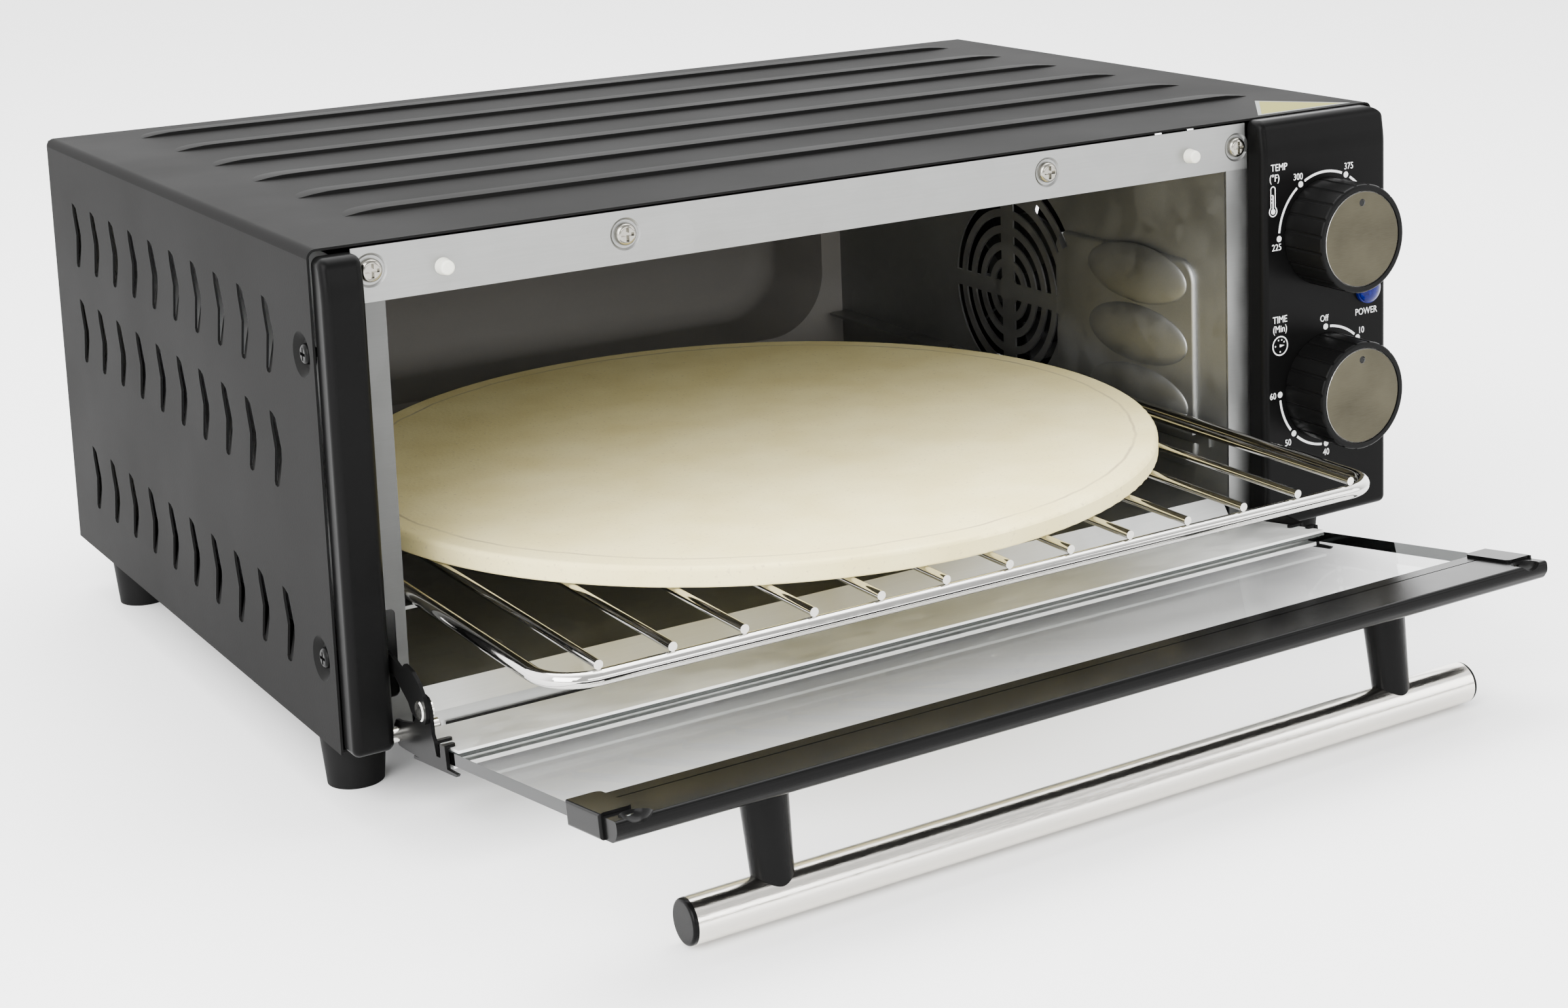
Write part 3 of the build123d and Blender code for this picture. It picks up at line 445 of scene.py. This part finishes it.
# degrees clockwise from the top: the word printed there, and its offset from the dot in millimetres
DIALS = {
    "temp": {-90: ("225", -1.2, -3.3), -32: ("300", -1.3, 3.0), 27: ("375", 1.5, 3.2),
             86: ("450", 4.4, 0.4)},
    "timer": {0: ("Off", -0.8, 3.3), 45: ("10", 1.9, 2.6), 90: ("20", 3.6, 0), 135: ("30", 2.8, -2.8),
              180: ("40", 0, -3.6), 225: ("50", -3.0, -3.3), 270: ("60", -3.6, -0.2)},
}


def print_dials():
    for name, marks in DIALS.items():
        print_scale(f"{name}_scale", CAP[name], list(marks))
        for degrees, (words, right, up) in marks.items():
            dot = around(CAP[name], RING, degrees)
            print_text(f"{name}_mark_{words}", words, dot.x + right * MM, dot.z + up * MM, MARK_SIZE)


def print_labels():
    """Words beside each dial and under the lamp, at millimetres right and up from the knob's middle."""
    labels = (("temp", "TEMP", -23.4, 27.8), ("temp", "(°F)", -25.7, 23.8),
              ("timer", "TIME", -23.4, 29.8), ("timer", "(Min)", -23.4, 26.1))
    for name, words, right, up in labels:
        knob = CAP[name]
        print_text(f"label_{words.strip('(°)')}", words, knob.x + right * MM, knob.z + up * MM, LABEL_SIZE)
    lamp_x, lamp_foot = middle("lamp_lens").x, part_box("lamp_lens")[0].z
    print_text("label_power", "POWER", lamp_x - 0.5 * MM, lamp_foot - 3.3 * MM, POWER_SIZE)


def print_clock():
    """Small clock beside the timer: a ring, a hand and five dots."""
    spot = Vector((CAP["timer"].x - 23.4 * MM, INK_Y, CAP["timer"].z + 19.5 * MM))
    outlines = arc_outlines(spot, 3.7 * MM, 0.5 * MM, 0, 360, 15)
    outlines += [dot_outline(around(spot, 2.4 * MM, d), 0.32 * MM) for d in (-90, -20, 20, 55, 180)]
    outlines.append([around(spot, 2.2 * MM, 90), around(spot, 0.6 * MM, 200), around(spot, 0.6 * MM, -20)])
    add_mesh("timer_icon", *flat_piece(outlines), WHITE_INK, "oven", "trim_black")


def print_thermometer():
    """Small thermometer beside the temperature dial: a bulb, a stem outline and ticks."""
    x, z = CAP["temp"].x - 26.5 * MM, CAP["temp"].z + 11.0 * MM
    bulb = Vector((x, INK_Y, z))

    def bar(x0, x1, z0, z1):
        corners = ((x0, z0), (x1, z0), (x1, z1), (x0, z1))
        return [Vector((x + a * MM, INK_Y, z + b * MM)) for a, b in corners]

    outlines = arc_outlines(bulb, 1.9 * MM, 0.4 * MM, 35, 325, 15) + [dot_outline(bulb, 1.1 * MM)]
    outlines += [bar(-1.3, -0.9, 1.5, 8.6), bar(0.9, 1.3, 1.5, 8.6), bar(-0.3, 0.3, 0.8, 6.2)]
    outlines += arc_outlines(bulb + Vector((0, 0, 8.6 * MM)), 1.1 * MM, 0.4 * MM, -90, 90, 15)
    outlines += [bar(-0.8, 0.1, h, h + 0.35) for h in (3.4, 4.8, 6.2)]
    add_mesh("temp_icon", *flat_piece(outlines), WHITE_INK, "oven", "trim_black")


def knob_marks():
    """Dark round mark in the recess of each knob's cap."""
    for name, centre in CAP.items():
        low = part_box(f"{name}_knob_cap")[0]
        outline = dot_outline(Vector((centre.x, 0, centre.z + 14.2 * MM)), 1.45 * MM)
        points = [Vector((p.x, low.y + 0.42 * MM, p.z)) for p in outline]
        add_mesh(f"{name}_knob_mark", points, [list(range(24))], MARK_INK, f"{name}_dial", "knob_black")


def top_sticker():
    """Blank triangular sticker near the cover's front right corner."""
    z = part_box("left_trim")[1].z + 2.36 * MM
    front = panel_high.y + 3 * MM
    margin, depth = 8 * MM, 30 * MM
    layers = (("sticker_border", PALE_INK, 0.0, 0.0), ("sticker", YELLOW_INK, 1.6, 0.03))
    for name, material, inset, lift in layers:
        inset, height = inset * MM, z + lift * MM
        points = [(panel_low.x + margin + 1.9 * inset, front + inset, height),
                  (panel_high.x - margin - 1.9 * inset, front + inset, height),
                  ((panel_low.x + panel_high.x) / 2, front + depth - 1.6 * inset, height)]
        add_mesh(name, points, [(0, 1, 2)], material, "oven", "cabinet_black")


print_dials()
print_labels()
print_clock()
print_thermometer()
knob_marks()
top_sticker()


# ---------------------------------------------------------------- floor, light and camera
def studio_floor():
    """Large pale floor, barely mottled."""
    floor = Shader("floor", (0.86, 0.86, 0.86), 0.7)
    floor.color(floor.mix(floor.noise(3, 3), (0.855, 0.855, 0.855), (0.87, 0.87, 0.87)))
    mesh = bpy.data.meshes.new("floor")
    half = 6.0
    corners = [(-half, -half, 0), (half, -half, 0), (half, half, 0), (-half, half, 0)]
    mesh.from_pydata(corners, [], [(0, 1, 2, 3)])
    mesh.materials.append(floor.material)
    made = bpy.data.objects.new("floor", mesh)
    bpy.context.scene.collection.objects.link(made)


def soft_light(name, place, target, size, power):
    """White rectangular light at place, aimed at target."""
    light = bpy.data.lights.new(name, "AREA")
    light.shape, light.size, light.size_y = "RECTANGLE", *size
    light.energy = power
    made = bpy.data.objects.new(name, light)
    made.location = place
    made.rotation_euler = (Vector(target) - Vector(place)).to_track_quat("-Z", "Y").to_euler()
    bpy.context.scene.collection.objects.link(made)


def studio_world(front, back):
    """White studio: bright behind the oven, dimmer in front of it."""
    world = bpy.data.worlds.new("studio")
    world.use_nodes = True
    tree = world.node_tree
    direction = tree.nodes.new("ShaderNodeTexCoord")
    split = tree.nodes.new("ShaderNodeSeparateXYZ")
    ramp = tree.nodes.new("ShaderNodeMapRange")
    for socket, value in (("From Min", -0.5), ("From Max", 0.25), ("To Min", front), ("To Max", back)):
        ramp.inputs[socket].default_value = value
    background = tree.nodes["Background"]
    background.inputs["Color"].default_value = (1, 1, 1, 1)
    tree.links.new(direction.outputs["Generated"], split.inputs[0])
    tree.links.new(split.outputs["Y"], ramp.inputs["Value"])
    tree.links.new(ramp.outputs["Result"], background.inputs["Strength"])
    bpy.context.scene.world = world


def photo_camera():
    """The photograph's viewpoint: low, from the oven's front left, with a long lens."""
    lens = bpy.data.cameras.new("camera")
    lens.sensor_width, lens.lens = 36.0, 60.51
    lens.shift_x, lens.shift_y = -0.1069, -0.2162
    lens.clip_start, lens.clip_end = 0.05, 50
    camera = bpy.data.objects.new("camera", lens)
    camera.location = (-0.4902, -0.8582, 0.3412)
    camera.rotation_euler = Euler([math.radians(a) for a in (80.232, 1.581, -33.863)])
    bpy.context.scene.collection.objects.link(camera)
    bpy.context.scene.camera = camera


MIDDLE = (0, 0, 0.1)
# name, place, target, width and height in metres, watts
LIGHTS = (
    ("key", (-1.2, -0.9, 1.2), MIDDLE, (1.4, 1.0), 55),
    ("front", (0.2, -1.9, 0.55), MIDDLE, (1.2, 0.5), 12),
    ("overhead", (0.3, 0.3, 1.7), MIDDLE, (2.0, 1.2), 50),
    ("right_fill", (1.5, -1.3, 0.7), MIDDLE, (0.8, 1.0), 14),
    ("low_left", (-0.95, -0.7, 0.35), (-0.1, -0.15, 0.03), (0.6, 0.4), 9),
)

studio_floor()
studio_world(front=1.1, back=5.0)
for light in LIGHTS:
    soft_light(*light)
photo_camera()
